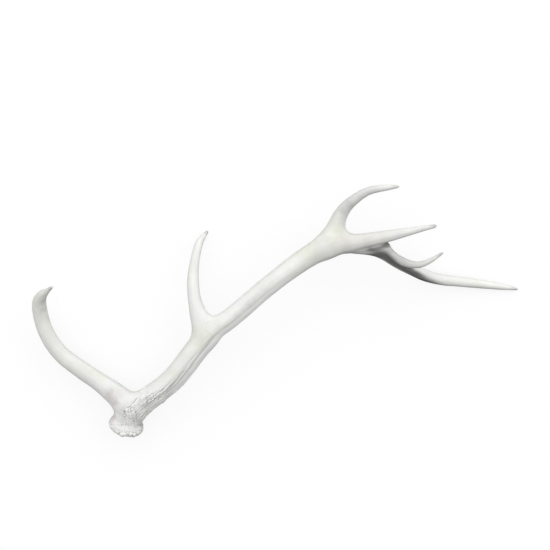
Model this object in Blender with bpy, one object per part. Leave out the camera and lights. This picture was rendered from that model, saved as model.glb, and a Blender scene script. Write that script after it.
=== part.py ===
"""A shed deer antler with six points, lying on a flat surface.

Metres, +Z up. The origin is at the bottom centre of the antler's box, on the
surface that it lies on, and its long way runs along X. The beam arches over
the surface. The antler rests on the rim of the burr, on the tip of the trez
tine and on the underside of the long back tine.

The branches are smooth tapered tubes, blended into one skin with a fillet in
each fork. The skin gets its relief, and is then parted at its main forks.
"""

import math

import bmesh
import bpy
import numpy as np
from mathutils import Matrix, Vector

MM = 0.001

# Stations along each branch, in millimetres: x, y, height of the centre line
# and radius. Each branch starts inside the one that it grows from. The back
# fork's stem is a tall blade: its two tines' roots, one over the other, with a
# web that fills the flank between them.
BEAM = (
    (-278.5, -215.5, 27.5, 22.9),
    (-275, -206, 29.5, 24.0),
    (-266, -182, 36, 23.6),
    (-242, -163, 44, 22.1),
    (-216, -144, 51, 20.9),
    (-187, -120, 58, 21.3),
    (-139.5, -60, 71, 20.8),
    (-115, -32.5, 75, 19.0),
    (-84, -10, 78, 17.9),
    (-18, 46, 81, 17.3),
    (16, 72.5, 80.5, 17.9),
    (47, 95, 79, 19.0),
    (78.5, 113, 76.5, 20.0),
    (110.5, 124.5, 75, 17.9),
    (141, 127, 76, 13.6),
    (198, 137, 83, 10.5),
    (247, 147.5, 91, 6.1),
    (281.5, 154.5, 96.5, 3.0),
)
BACK_FORK = (
    (87.5, 119.5, 71, 8.1),
    (122, 122, 66, 9.7),
    (145.5, 120.5, 58, 10.3),
    (167.5, 116, 50, 10.1),
    (191.5, 106, 43, 9.6),
    (209.5, 94, 38, 9.4),
    (228, 84, 34, 9.6),
    (246, 76, 30.5, 9.8),
    (267.5, 67, 26, 10.2),
    (297.5, 59.5, 18.5, 10.0),
    (334.5, 55, 12, 9.1),
    (371.5, 51, 8.2, 8.1),
    (408.5, 46.5, 6, 6.2),
    (440, 41.5, 4, 2.2),
)
SHORT_TINE = (
    (124, 121, 62, 7.9),
    (149, 118, 60, 7.6),
    (169, 116.5, 61.5, 7.7),
    (184.5, 115, 65.5, 8.6),
    (197, 110.5, 68, 8.6),
    (210.5, 100.5, 68, 7.5),
    (226, 91.5, 66.5, 7.5),
    (240.5, 86.5, 66.5, 6.8),
    (256.5, 86, 68.5, 5.7),
    (274, 93, 73.5, 4.7),
    (296.5, 107.5, 84, 1.8),
)
FORK_WEB = (
    (145.5, 118, 60, 8.1),
    (167.5, 114, 56, 8.3),
    (185.5, 108.5, 54, 8.5),
    (199, 102, 52.5, 8.5),
    (213, 94.5, 51, 8.3),
    (227.5, 87, 49, 8.1),
    (242, 80.5, 45.5, 7.4),
    (257, 74, 39, 6.7),
    (274.5, 67, 29, 5.5),
)
FRONT_TINE = (
    (87.5, 119.5, 74, 12.5),
    (100, 144.5, 77, 15.4),
    (116, 179.5, 88, 11.8),
    (127.5, 193.5, 95, 10.0),
    (159, 215, 111, 7.3),
    (193.5, 221.5, 124, 5.3),
    (214, 222.5, 130.5, 1.8),
)
TREZ_TINE = (
    (-124, -45.5, 72, 7.2),
    (-134, -24, 70, 16.5),
    (-148, 20.5, 61, 11.9),
    (-152, 58.5, 50.5, 10.3),
    (-149, 94.5, 37.5, 8.5),
    (-141.5, 126.5, 21.5, 6.7),
    (-127.5, 148, 1.5, 2.0),
)
BROW_TINE = (
    (-261.5, -183, 37, 14.5),
    (-287, -154, 37, 20.3),
    (-320, -128.5, 35.5, 16.9),
    (-358.5, -102.5, 32.5, 15.8),
    (-392.5, -76, 31.5, 14.9),
    (-415.5, -44, 35, 14.2),
    (-426.5, -10.5, 45, 13.6),
    (-428, 18, 62, 12.6),
    (-421, 30, 79, 9.5),
    (-409, 39, 98, 5.0),
    (-396.5, 47, 114, 1.6),
)

# Each branch with the depth over which it blends into the ones before it.
BRANCHES = (
    ("beam", BEAM, 0.0),
    ("crown_back_tine", BACK_FORK, 20 * MM),
    ("crown_front_tine", FRONT_TINE, 24 * MM),
    ("fork_web", FORK_WEB, 10 * MM),
    ("crown_short_tine", SHORT_TINE, 14 * MM),
    ("trez_tine", TREZ_TINE, 24 * MM),
    ("brow_tine", BROW_TINE, 22 * MM),
)

# The burr: a rounded rim round the base of the beam, and the flat seal that
# the antler was cast from.
BURR_CENTRE = Vector((-275, -205.5, 30.3)) * MM
BURR_AXIS = Vector((0.24, 0.87, 0.43)).normalized()
BURR_RADIUS = 22.5 * MM
BURR_THICKNESS = 8.4 * MM
SEAL_DEPTH = 8.4 * MM
SEAL_ROUND = 5 * MM
BURR_BLEND = 9 * MM
BURR_REACH = 36 * MM
BURR_SIDES = 48

# The seal is cut level this far above its rounded skin, and a square in its
# middle is kept whole, as the place that a fixing would be glued to.
SEAL_SKIM = 0.4 * MM
SEAL_TRIM = 20 * MM
SEAL_TRIM_RADIUS = 60 * MM
SEAL_SQUARE = 22 * MM
SEAL_EDGE = 0.25

# Pearls round the burr: rows of (how many, tilt up the rim, height, width).
PEARL_ROWS = (
    (20, 0.0, 2.6 * MM, 4.6 * MM),
    (18, 0.95, 2.0 * MM, 4.2 * MM),
    (18, -0.85, 1.8 * MM, 4.2 * MM),
)
PEARL_SIZES = (0.75, 1.2)
PEARL_STRAY = 0.25
PEARL_TILT_STRAY = 0.15
PEARL_SEED = 11

# Long gutters down the beam. They begin past the burr, are deepest there, and
# are gone before the crown. Their lines wander in waves of (size, length, turn).
GUTTERS = 8
GUTTER_DEPTH = 1.4 * MM
GUTTER_START = 20 * MM
GUTTER_RISE = 40 * MM
GUTTER_FADE = 520 * MM
GUTTER_EDGE = 6 * MM
GUTTER_TWIST = 2.4
GUTTER_SHARPNESS = 1.5
GUTTER_WANDER = ((0.5, 47 * MM, 0.0), (0.3, 19 * MM, 1.0))

# Knobs on the lowest stretch of the beam.
KNOBS = 40
KNOB_STRETCH = (30 * MM, 150 * MM)
KNOB_HEIGHT = 1.3 * MM
KNOB_WIDTH = 5.5 * MM
KNOB_SIZES = (0.6, 1.2)
KNOB_SEED = 4

# Each tine's free length, from its tip to the split, and the split's radius.
SPLITS = {
    "brow_tine": ("brow_tine", 272 * MM, 28 * MM),
    "trez_tine": ("trez_tine", 144 * MM, 18 * MM),
    "crown_front_tine": ("crown_front_tine", 108 * MM, 22 * MM),
    "crown_middle_tine": ("beam", 76 * MM, 16 * MM),
    "crown_back_tine": ("fork_web", 69 * MM, 31 * MM),
    "crown_short_tine": ("crown_short_tine", 49 * MM, 10.5 * MM),
}
GAP = 0.3 * MM
SPLIT_SIDES = 24

PATH_STEP = 4 * MM
SPAN_STEPS = 24
TUBE_RINGS = 3
VOXEL = 2.2 * MM
SMALLEST_SLOPE = 0.3
TRIANGLES = 9700
SMOOTH_ANGLE = math.radians(50)

# Each node's colour (linear) and roughness.
FINISHES = {
    "beam": ((0.78, 0.78, 0.73), 0.62),
    "brow_tine": ((0.80, 0.79, 0.75), 0.52),
    "trez_tine": ((0.83, 0.83, 0.80), 0.50),
    "crown_front_tine": ((0.80, 0.80, 0.76), 0.50),
    "crown_middle_tine": ((0.82, 0.82, 0.77), 0.50),
    "crown_back_tine": ((0.79, 0.79, 0.76), 0.52),
    "crown_short_tine": ((0.81, 0.81, 0.78), 0.50),
}


def clear_scene():
    for obj in list(bpy.data.objects):
        bpy.data.objects.remove(obj, do_unlink=True)


def smooth_path(stations):
    """Evenly spaced rows of x, y, z and radius on a smooth curve through the stations."""
    knots = np.array(stations, float) * MM
    chords = np.linalg.norm(np.diff(knots[:, :3], axis=0), axis=1)
    times = np.concatenate(([0.0], np.cumsum(np.sqrt(chords))))
    slopes = np.gradient(knots, times, axis=0)
    rows = []
    for i, span in enumerate(np.diff(times)):
        t = np.linspace(0.0, 1.0, SPAN_STEPS, endpoint=False)[:, None]
        rows.append(
            (2 * t**3 - 3 * t**2 + 1) * knots[i]
            + (t**3 - 2 * t**2 + t) * span * slopes[i]
            + (3 * t**2 - 2 * t**3) * knots[i + 1]
            + (t**3 - t**2) * span * slopes[i + 1]
        )
    fine = np.concatenate(rows + [knots[-1:]])
    run = np.linalg.norm(np.diff(fine[:, :3], axis=0), axis=1)
    along = np.concatenate(([0.0], np.cumsum(run)))
    count = round(along[-1] / PATH_STEP)
    spots = np.linspace(0.0, along[-1], count + 1)
    return np.stack([np.interp(spots, along, column) for column in fine.T], axis=1)


def side_vectors(points):
    """A unit vector square to the path at each point, turned as little as possible."""
    ways = np.gradient(points, axis=0)
    ways /= np.linalg.norm(ways, axis=1, keepdims=True)
    side = Vector((0, 0, 1))
    sides = []
    for way in ways:
        side = side - side.dot(Vector(way)) * Vector(way)
        side.normalize()
        sides.append(side[:])
    return ways, np.array(sides)


class Branch:
    """A tapered tube along a smooth path, which can say how far any spot is from it."""

    def __init__(self, name, stations, blend):
        rows = smooth_path(stations)
        self.name = name
        self.blend = blend
        self.points = rows[:, :3]
        self.radii = rows[:, 3]
        self.ways, self.sides = side_vectors(self.points)
        run = np.linalg.norm(np.diff(self.points, axis=0), axis=1)
        self.along = np.concatenate(([0.0], np.cumsum(run)))
        self.length = self.along[-1]

    def measure(self, spots):
        """For each spot: its distance outside the tube, the way out, how far along, and the angle."""
        start = self.points[:-1]
        span = np.diff(self.points, axis=0)
        square = (span**2).sum(1)
        reach = spots @ span.T - (start * span).sum(1)
        share = np.clip(reach / square, 0.0, 1.0)
        apart = (spots**2).sum(1)[:, None] - 2 * spots @ start.T + (start**2).sum(1)
        apart = np.sqrt(np.maximum(apart - 2 * share * reach + share**2 * square, 0.0))
        radius = self.radii[:-1] + share * np.diff(self.radii)
        gaps = apart - radius
        best = gaps.argmin(1)
        rows = np.arange(len(spots))
        share = share[rows, best]
        foot = start[best] + share[:, None] * span[best]
        out = spots - foot
        out /= np.maximum(np.linalg.norm(out, axis=1, keepdims=True), 1e-9)
        along = self.along[best] + share * np.sqrt(square[best])
        side = self.sides[best]
        third = np.cross(self.ways[best], side)
        angle = np.arctan2((out * third).sum(1), (out * side).sum(1))
        return gaps[rows, best], out, along, angle

    def place(self, from_tip):
        """The point at a distance back from the tip, and the path's direction there."""
        spot = self.length - from_tip
        point = [np.interp(spot, self.along, column) for column in self.points.T]
        way = [np.interp(spot, self.along, column) for column in self.ways.T]
        return Vector(point), Vector(way).normalized()


def blend_fields(near, near_out, far, far_out, depth):
    """The smooth lower envelope of two distances, with its slope."""
    share = np.clip(0.5 + 0.5 * (far - near) / depth, 0.0, 1.0)
    value = far + (near - far) * share - depth * share * (1 - share)
    slope = far_out + (near_out - far_out) * share[:, None]
    return value, slope


def burr_field(spots):
    """Distance outside the burr's rim, and the way out of it."""
    axis = np.array(BURR_AXIS)
    offset = spots - np.array(BURR_CENTRE)
    height = offset @ axis
    flat = offset - height[:, None] * axis
    reach = np.maximum(np.linalg.norm(flat, axis=1), 1e-9)
    round_way = flat / reach[:, None]
    apart = np.maximum(np.hypot(reach - BURR_RADIUS, height), 1e-9)
    out = (reach - BURR_RADIUS)[:, None] * round_way + height[:, None] * axis
    return apart - BURR_THICKNESS, out / apart[:, None]


def antler_field(spots, branches):
    """Distance outside the whole blended antler, and its slope."""
    value, slope, _, _ = branches[0].measure(spots)
    rim, rim_out = burr_field(spots)
    value, slope = blend_fields(value, slope, rim, rim_out, BURR_BLEND)
    for branch in branches[1:]:
        gap, out, _, _ = branch.measure(spots)
        value, slope = blend_fields(value, slope, gap, out, branch.blend)
    axis = np.array(BURR_AXIS)
    below = -(spots - np.array(BURR_CENTRE)) @ axis - SEAL_DEPTH
    down = np.broadcast_to(axis, spots.shape)
    value, slope = blend_fields(-value, -slope, -below, down, SEAL_ROUND)
    return -value, -slope


def settle(spots, branches, passes):
    """Moves spots onto the antler's skin. Also gives the way out of it."""
    for _ in range(passes):
        value, slope = antler_field(spots, branches)
        steep = np.maximum((slope**2).sum(1), SMALLEST_SLOPE)
        spots = spots - slope * (value / steep)[:, None]
    slope = antler_field(spots, branches)[1]
    return spots, slope / np.linalg.norm(slope, axis=1, keepdims=True)


def pearl_places():
    """Centres, heights and widths of the pearls round the burr."""
    chance = np.random.default_rng(PEARL_SEED)
    side = BURR_AXIS.orthogonal().normalized()
    third = BURR_AXIS.cross(side)
    pearls = []
    for count, tilt, height, width in PEARL_ROWS:
        for i in range(count):
            turn = (i + chance.uniform(-PEARL_STRAY, PEARL_STRAY)) * math.tau / count
            lift = tilt + chance.uniform(-PEARL_TILT_STRAY, PEARL_TILT_STRAY)
            way = math.cos(turn) * side + math.sin(turn) * third
            rim = BURR_THICKNESS * (math.cos(lift) * way + math.sin(lift) * BURR_AXIS)
            size = chance.uniform(*PEARL_SIZES)
            pearls.append((*(BURR_CENTRE + BURR_RADIUS * way + rim), size * height, width))
    return np.array(pearls)


def knob_places(beam):
    """Centres, heights and widths of the knobs on the lowest stretch of the beam."""
    chance = np.random.default_rng(KNOB_SEED)
    knobs = []
    for _ in range(KNOBS):
        along = chance.uniform(*KNOB_STRETCH)
        turn = chance.uniform(0, math.tau)
        row = np.searchsorted(beam.along, along)
        third = np.cross(beam.ways[row], beam.sides[row])
        way = math.cos(turn) * beam.sides[row] + math.sin(turn) * third
        size = chance.uniform(*KNOB_SIZES)
        spot = beam.points[row] + beam.radii[row] * way
        knobs.append((*spot, size * KNOB_HEIGHT, size * KNOB_WIDTH))
    return np.array(knobs)


def bumps(spots, places):
    """Height added at each spot by rounded bumps."""
    total = np.zeros(len(spots))
    for x, y, z, height, width in places:
        apart = ((spots - (x, y, z)) ** 2).sum(1)
        total = np.maximum(total, height * np.sqrt(np.maximum(1.0 - apart / width**2, 0.0)))
    return total


def gutters(spots, branches):
    """Depth of the long gutters at each spot."""
    gap, _, along, angle = branches[0].measure(spots)
    wander = sum(size * np.sin(along / length + turn * angle) for size, length, turn in GUTTER_WANDER)
    wave = np.cos(GUTTERS * angle + GUTTER_TWIST * along / GUTTER_FADE + wander)
    rise = np.clip((along - GUTTER_START) / GUTTER_RISE, 0.0, 1.0)
    fade = np.clip(1.0 - along / GUTTER_FADE, 0.0, 1.0)
    on_beam = np.clip(1.0 - gap / GUTTER_EDGE, 0.0, 1.0)
    return GUTTER_DEPTH * rise * fade * on_beam * np.maximum(wave, 0.0) ** GUTTER_SHARPNESS


def branch_tube(branch):
    """The tube of one branch as a mesh, from a curve with a round bevel."""
    curve = bpy.data.curves.new(branch.name + "_line", "CURVE")
    curve.dimensions = "3D"
    curve.bevel_depth = 1.0
    curve.bevel_resolution = TUBE_RINGS
    curve.use_fill_caps = True
    line = curve.splines.new("POLY")
    line.points.add(len(branch.points) - 1)
    for knot, place, radius in zip(line.points, branch.points, branch.radii, strict=True):
        knot.co = (*place, 1.0)
        knot.radius = radius
    obj = bpy.data.objects.new(branch.name + "_line", curve)
    bpy.context.scene.collection.objects.link(obj)
    return finished_mesh(obj)


def finished_mesh(obj):
    """An object's mesh with its modifiers applied. The object itself is removed."""
    depsgraph = bpy.context.evaluated_depsgraph_get()
    mesh = bpy.data.meshes.new_from_object(obj.evaluated_get(depsgraph))
    bpy.data.objects.remove(obj)
    return mesh


def linked_object(name, mesh):
    obj = bpy.data.objects.new(name, mesh)
    bpy.context.scene.collection.objects.link(obj)
    return obj


def burr_mesh(bm):
    """The rim of the burr, as a short drum that the skin then settles on."""
    turn = BURR_AXIS.to_track_quat("Z", "Y").to_matrix().to_4x4()
    outer = BURR_RADIUS + 0.5 * BURR_THICKNESS
    bmesh.ops.create_cone(
        bm,
        cap_ends=True,
        segments=BURR_SIDES,
        radius1=outer,
        radius2=outer,
        depth=2 * SEAL_DEPTH,
        matrix=Matrix.Translation(BURR_CENTRE) @ turn,
    )


def joined_skin(branches):
    """One closed skin round all the branches and the burr, as an even net."""
    bm = bmesh.new()
    for branch in branches:
        bm.from_mesh(branch_tube(branch))
    burr_mesh(bm)
    mesh = bpy.data.meshes.new("skin")
    bm.to_mesh(mesh)
    bm.free()
    obj = linked_object("skin", mesh)
    net = obj.modifiers.new("net", "REMESH")
    net.mode = "VOXEL"
    net.voxel_size = VOXEL
    net.adaptivity = 0.0
    return finished_mesh(obj)


def mesh_spots(mesh):
    spots = np.empty(len(mesh.vertices) * 3, np.float32)
    mesh.vertices.foreach_get("co", spots)
    return spots.reshape(-1, 3).astype(float)


def set_spots(mesh, spots):
    mesh.vertices.foreach_set("co", spots.astype(np.float32).ravel())
    mesh.update()


def relax(mesh, spots):
    """Evens the net out by moving each spot half way to the middle of its neighbours."""
    pairs = np.empty(len(mesh.edges) * 2, np.int32)
    mesh.edges.foreach_get("vertices", pairs)
    a, b = pairs.reshape(-1, 2).T
    total = np.zeros_like(spots)
    np.add.at(total, a, spots[b])
    np.add.at(total, b, spots[a])
    count = np.bincount(pairs, minlength=len(spots))[:, None]
    return 0.5 * (spots + total / count)


def carve(mesh, branches):
    """Brings the skin to its true form, with the burr's pearls, the knobs and the gutters."""
    spots = mesh_spots(mesh)
    spots, _ = settle(spots, branches, 3)
    spots, _ = settle(relax(mesh, spots), branches, 2)
    spots, out = settle(relax(mesh, spots), branches, 2)
    rise = bumps(spots, pearl_places())
    rise = np.maximum(rise, bumps(spots, knob_places(branches[0])))
    below = -(spots - np.array(BURR_CENTRE)) @ np.array(BURR_AXIS)
    on_seal = np.clip(1.0 - (1.0 - below / SEAL_DEPTH) / SEAL_EDGE, 0.0, 1.0)
    rise = (rise - gutters(spots, branches)) * (1 - on_seal)
    spots += out * rise[:, None]
    for branch in branches:
        if branch.name in FINISHES:
            end = branch.points[-1] + branch.radii[-1] * branch.ways[-1]
            spots[((spots - end) ** 2).sum(1).argmin()] = end
    set_spots(mesh, spots)


def thinned(mesh):
    """The skin with fewer faces where it is plain, which is everywhere but round the burr."""
    spots = mesh_spots(mesh)
    reach = np.linalg.norm(spots - np.array(BURR_CENTRE), axis=1)
    obj = linked_object("skin", mesh)
    plain = obj.vertex_groups.new(name="plain")
    plain.add(np.flatnonzero(reach > BURR_REACH).tolist(), 1.0, "REPLACE")
    thin = obj.modifiers.new("thin", "DECIMATE")
    thin.ratio = TRIANGLES / (2 * len(mesh.polygons))
    thin.vertex_group = plain.name
    thin.use_collapse_triangulate = True
    mesh = finished_mesh(obj)
    spots = mesh_spots(mesh)
    spots[:, 2] = np.maximum(spots[:, 2], 0.0)
    set_spots(mesh, spots)
    return mesh


def cutter(name, place, way, radius, depth):
    """A round disc square to a direction, to cut with."""
    bm = bmesh.new()
    turn = way.to_track_quat("Z", "Y").to_matrix().to_4x4()
    bmesh.ops.create_cone(
        bm,
        cap_ends=True,
        segments=SPLIT_SIDES,
        radius1=radius,
        radius2=radius,
        depth=depth,
        matrix=Matrix.Translation(place) @ turn,
    )
    mesh = bpy.data.meshes.new(name)
    bm.to_mesh(mesh)
    bm.free()
    obj = linked_object(name, mesh)
    obj.hide_render = True
    obj.display_type = "WIRE"
    return obj


def parted(mesh, branches):
    """The skin cut through at each split, and level across the seal."""
    obj = linked_object("skin", mesh)
    by_name = {branch.name: branch for branch in branches}
    cutters = []
    for name, (grown_on, length, radius) in SPLITS.items():
        place, way = by_name[grown_on].place(length)
        cutters.append(cutter("split_" + name, place, way, radius, GAP))
    seal = BURR_CENTRE - (SEAL_DEPTH - SEAL_SKIM + SEAL_TRIM / 2) * BURR_AXIS
    cutters.append(cutter("seal_trim", seal, BURR_AXIS, SEAL_TRIM_RADIUS, SEAL_TRIM))
    for tool in cutters:
        cut = obj.modifiers.new(tool.name, "BOOLEAN")
        cut.operation = "DIFFERENCE"
        cut.object = tool
    mesh = finished_mesh(obj)
    for tool in cutters:
        bpy.data.objects.remove(tool)
    return mesh


def square_seal(mesh):
    """Cuts the seal's flat face along the sides of the square in its middle."""
    bm = bmesh.new()
    bm.from_mesh(mesh)
    seal = max(bm.faces, key=lambda face: face.calc_area())
    side = BURR_AXIS.orthogonal().normalized()
    third = BURR_AXIS.cross(side)
    for way in (side, -side, third, -third):
        cut = bmesh.ops.bisect_plane(
            bm,
            geom=[seal, *seal.edges, *seal.verts],
            plane_co=BURR_CENTRE + SEAL_SQUARE / 2 * way,
            plane_no=way,
        )
        pieces = [item for item in cut["geom"] if isinstance(item, bmesh.types.BMFace)]
        seal = min(pieces, key=lambda face: (face.calc_center_median() - BURR_CENTRE).dot(way))
    bm.to_mesh(mesh)
    bm.free()


def islands(bm):
    """The separate bodies of a mesh, each as a set of its vertices."""
    left = set(bm.verts)
    found = []
    while left:
        body = set()
        front = [left.pop()]
        while front:
            vert = front.pop()
            body.add(vert)
            for edge in vert.link_edges:
                other = edge.other_vert(vert)
                if other in left:
                    left.discard(other)
                    front.append(other)
        found.append(body)
    return found


def bone(name):
    """The bleached bone of one node."""
    colour, roughness = FINISHES[name]
    material = bpy.data.materials.new(name + "_bone")
    material.use_nodes = True
    shader = material.node_tree.nodes["Principled BSDF"]
    shader.inputs["Base Color"].default_value = (*colour, 1.0)
    shader.inputs["Roughness"].default_value = roughness
    shader.inputs["Metallic"].default_value = 0.0
    return material


def make_node(name, mesh, tip):
    """One named node: the body of the parted skin that holds the given tip."""
    bm = bmesh.new()
    bm.from_mesh(mesh)
    bodies = islands(bm)
    nearest = [min((vert.co - tip).length for vert in body) for body in bodies]
    keep = bodies[nearest.index(min(nearest))]
    others = [vert for vert in bm.verts if vert not in keep]
    bmesh.ops.delete(bm, geom=others, context="VERTS")
    part = bpy.data.meshes.new(name)
    bm.to_mesh(part)
    bm.free()
    part.shade_smooth()
    part.set_sharp_from_angle(angle=SMOOTH_ANGLE)
    part.materials.append(bone(name))
    linked_object(name, part)


def build():
    clear_scene()
    branches = [Branch(*entry) for entry in BRANCHES]
    skin = joined_skin(branches)
    carve(skin, branches)
    skin = parted(thinned(skin), branches)
    square_seal(skin)
    tips = {branch.name: Vector(branch.points[-1]) for branch in branches}
    tips["crown_middle_tine"] = tips["beam"]
    tips["beam"] = BURR_CENTRE
    for name in FINISHES:
        make_node(name, skin, tips[name])


build()
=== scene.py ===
"""A shed deer antler of bleached bone, lying on a pale floor and seen from straight above.

The antler is one fine skin, because the real one grew as one bone. It is swept
along the same lines as the solids, settled on the same blended form, and then
gets its relief: a pearled burr, and furrows and knobs that fade to smooth tines.
"""

import math

import bmesh
import bpy
import numpy as np
from mathutils import Matrix, Vector, noise


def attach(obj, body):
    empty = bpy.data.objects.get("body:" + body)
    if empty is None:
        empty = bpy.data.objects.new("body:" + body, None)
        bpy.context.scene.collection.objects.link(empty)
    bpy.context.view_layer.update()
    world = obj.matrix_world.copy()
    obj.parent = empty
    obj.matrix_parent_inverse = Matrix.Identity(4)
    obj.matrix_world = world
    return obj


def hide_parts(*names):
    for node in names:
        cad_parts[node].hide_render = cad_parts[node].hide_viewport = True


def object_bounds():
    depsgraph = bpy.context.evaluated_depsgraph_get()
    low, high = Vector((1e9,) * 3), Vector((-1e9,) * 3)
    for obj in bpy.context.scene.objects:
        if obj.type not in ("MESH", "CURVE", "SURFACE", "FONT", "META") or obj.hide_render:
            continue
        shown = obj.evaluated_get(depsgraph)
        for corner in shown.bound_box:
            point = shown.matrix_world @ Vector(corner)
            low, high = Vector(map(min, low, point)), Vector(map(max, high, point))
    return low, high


MM = 0.001

# Stations along each branch, in millimetres: x, y, height of the centre line
# and radius. Each branch starts inside the one that it grows from. The back
# fork's stem is its two tines' roots, one over the other, with a web between
# them. A small web fills the corner between the stem and the middle tine.
BEAM = (
    (-278.5, -215.5, 27.5, 22.9),
    (-275, -206, 29.5, 24.0),
    (-266, -182, 36, 23.6),
    (-242, -163, 44, 22.1),
    (-216, -144, 51, 20.9),
    (-187, -120, 58, 21.3),
    (-139.5, -60, 71, 20.8),
    (-115, -32.5, 75, 19.0),
    (-84, -10, 78, 17.9),
    (-18, 46, 81, 17.3),
    (16, 72.5, 80.5, 17.9),
    (47, 95, 79, 19.0),
    (78.5, 113, 76.5, 20.0),
    (110.5, 124.5, 75, 17.9),
    (141, 127, 76, 13.6),
    (198, 137, 83, 10.5),
    (247, 147.5, 91, 6.1),
    (281.5, 154.5, 96.5, 3.0),
)
BACK_FORK = (
    (87.5, 119.5, 71, 8.1),
    (122, 122, 66, 9.7),
    (145.5, 120.5, 58, 10.3),
    (167.5, 116, 50, 10.1),
    (191.5, 106, 43, 9.6),
    (209.5, 94, 38, 9.4),
    (228, 84, 34, 9.6),
    (246, 76, 30.5, 9.8),
    (267.5, 67, 26, 10.2),
    (297.5, 59.5, 18.5, 10.0),
    (334.5, 55, 12, 9.1),
    (371.5, 51, 8.2, 8.1),
    (408.5, 46.5, 6, 6.2),
    (440, 41.5, 4, 2.2),
)
SHORT_TINE = (
    (124, 121, 62, 7.9),
    (149, 118, 60, 7.6),
    (169, 116.5, 61.5, 7.7),
    (184.5, 115, 65.5, 8.6),
    (197, 110.5, 68, 8.6),
    (210.5, 100.5, 68, 7.5),
    (226, 91.5, 66.5, 7.5),
    (240.5, 86.5, 66.5, 6.8),
    (256.5, 86, 68.5, 5.7),
    (274, 93, 73.5, 4.7),
    (296.5, 107.5, 84, 1.8),
)
FORK_WEB = (
    (145.5, 118, 60, 8.1),
    (167.5, 114, 56, 8.3),
    (185.5, 108.5, 54, 8.5),
    (199, 102, 52.5, 8.5),
    (213, 94.5, 51, 8.3),
    (227.5, 87, 49, 8.1),
    (242, 80.5, 45.5, 7.4),
    (257, 74, 39, 6.7),
    (274.5, 67, 29, 5.5),
)
CROTCH_WEB = (
    (173.5, 122.5, 71, 5.4),
    (186, 122, 72.5, 5.4),
    (195.5, 121, 73.5, 4.5),
)
FRONT_TINE = (
    (87.5, 119.5, 74, 12.5),
    (100, 144.5, 77, 15.4),
    (116, 179.5, 88, 11.8),
    (127.5, 193.5, 95, 10.0),
    (159, 215, 111, 7.3),
    (193.5, 221.5, 124, 5.3),
    (214, 222.5, 130.5, 1.8),
)
TREZ_TINE = (
    (-124, -45.5, 72, 7.2),
    (-134, -24, 70, 16.5),
    (-148, 20.5, 61, 11.9),
    (-152, 58.5, 50.5, 10.3),
    (-149, 94.5, 37.5, 8.5),
    (-141.5, 126.5, 21.5, 6.7),
    (-127.5, 148, 1.5, 2.0),
)
BROW_TINE = (
    (-261.5, -183, 37, 14.5),
    (-287, -154, 37, 20.3),
    (-320, -128.5, 35.5, 16.9),
    (-358.5, -102.5, 32.5, 15.8),
    (-392.5, -76, 31.5, 14.9),
    (-415.5, -44, 35, 14.2),
    (-426.5, -10.5, 45, 13.6),
    (-428, 18, 62, 12.6),
    (-421, 30, 79, 9.5),
    (-409, 39, 98, 5.0),
    (-396.5, 47, 114, 1.6),
)

# Each branch with the depth over which it blends into the ones before it, and
# how furrowed its skin is beside the beam's.
BRANCHES = (
    ("beam", BEAM, 0.0, 1.0),
    ("crown_back_tine", BACK_FORK, 20 * MM, 0.35),
    ("crown_front_tine", FRONT_TINE, 24 * MM, 0.3),
    ("fork_web", FORK_WEB, 10 * MM, 0.3),
    ("crotch_web", CROTCH_WEB, 5 * MM, 0.3),
    ("crown_short_tine", SHORT_TINE, 14 * MM, 0.2),
    ("trez_tine", TREZ_TINE, 24 * MM, 0.35),
    ("brow_tine", BROW_TINE, 22 * MM, 0.3),
)
WEBS = ("fork_web", "crotch_web")

# The burr: a rounded rim round the base of the beam, and the flat seal that
# the antler was cast from.
BURR_CENTRE = Vector((-275, -205.5, 30.3)) * MM
BURR_AXIS = Vector((0.24, 0.87, 0.43)).normalized()
BURR_RADIUS = 22.5 * MM
BURR_THICKNESS = 8.4 * MM
SEAL_DEPTH = 8.4 * MM
SEAL_SKIM = 0.4 * MM
SEAL_ROUND = 5 * MM
BURR_BLEND = 9 * MM
BURR_SIDES = 48

# Pearls round the burr: rows of (how many, tilt up the rim, height, width).
PEARL_ROWS = (
    (20, 0.0, 2.6 * MM, 4.6 * MM),
    (18, 0.95, 0.7 * MM, 4.2 * MM),
    (18, -0.85, 1.8 * MM, 4.2 * MM),
)
PEARL_SIZES = (0.6, 1.3)
PEARL_WIDTHS = (0.8, 1.2)
PEARL_STRAY = 0.4
PEARL_TILT_STRAY = 0.22
PEARL_SEED = 11

# The burr is worn smooth on the side that faces this way, down to this share.
BURR_WORN_WAY = (-1.0, 0.0, 0.0)
BURR_WORN_RAMP = (0.3, 0.8)
BURR_WORN_LEAST = 0.12

# Long gutters down the beam, deepest near the burr and gone before the crown.
# Their lines wander in waves of (size, length, turn).
GUTTERS = 22
GUTTER_DEPTH = 0.4 * MM
GUTTER_START = 20 * MM
GUTTER_RISE = 40 * MM
GUTTER_FADE = 330 * MM
GUTTER_EDGE = 6 * MM
GUTTER_TWIST = 2.4
GUTTER_SHARPNESS = 1.5
GUTTER_WANDER = ((1.2, 47 * MM, 0.0), (0.8, 19 * MM, 2.0))

# Knobs on the lowest stretch of the beam.
KNOBS = 40
KNOB_STRETCH = (30 * MM, 150 * MM)
KNOB_HEIGHT = 0.8 * MM
KNOB_WIDTH = 5.5 * MM
KNOB_SIZES = (0.6, 1.2)
KNOB_SEED = 4

# How finely the paths, the rings and the first even net are made.
PATH_STEP = 4 * MM
SPAN_STEPS = 24
RING_SIDES = 24
VOXEL = 2.3 * MM

# Distances past this aren't worked out. Spots are measured this many at a time.
FAR_OFF = 45 * MM
CHUNK = 2048
SMALLEST_SLOPE = 0.3

# The net is finer on the low beam's upper side and at the tips, and finest on
# the upper part of the burr and the neck.
FINE_STRETCH = 250 * MM
FINE_GAP = 6 * MM
FINE_LEAN = -0.4
FINE_TIP = 24 * MM
FINEST_REACH = 39 * MM
FINEST_FROM = 24 * MM

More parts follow.
